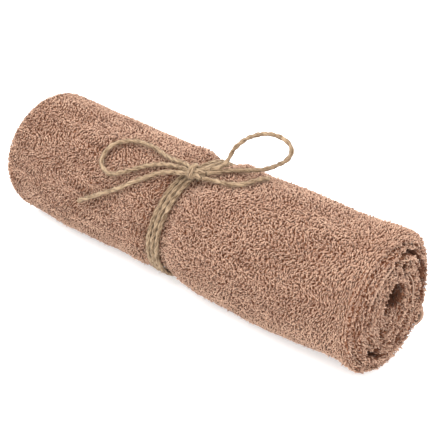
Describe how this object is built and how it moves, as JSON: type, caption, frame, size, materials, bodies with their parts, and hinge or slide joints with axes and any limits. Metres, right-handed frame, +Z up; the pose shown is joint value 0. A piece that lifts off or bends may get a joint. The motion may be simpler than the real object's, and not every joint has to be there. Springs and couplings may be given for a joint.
{
  "type": "rolled bath towel",
  "caption": "Plush terry bath towel, folded and wound into a tight roll, tied round its middle with jute twine in a bow.",
  "frame": {"origin": "centre of the roll's footprint on the surface it lies on, the twine left out", "axes": "+X along the roll's axis, towards the end where the wound cloth's edges show; +Y to the back, away from the knot; +Z up"},
  "size_m": [0.35, 0.1064, 0.1305],
  "materials": {
    "terry_cloth": "looped cotton pile, matte, dusty pink",
    "jute_twine": "natural two-ply jute, fibrous, matte"
  },
  "bodies": {
    "root": {"towel_roll": "terry_cloth", "twine_wraps": "jute_twine", "bow_knot": "jute_twine", "bow_loop_left": "jute_twine", "bow_loop_right": "jute_twine", "bow_tail_left": "jute_twine", "bow_tail_right": "jute_twine"}
  },
  "joints": []
}
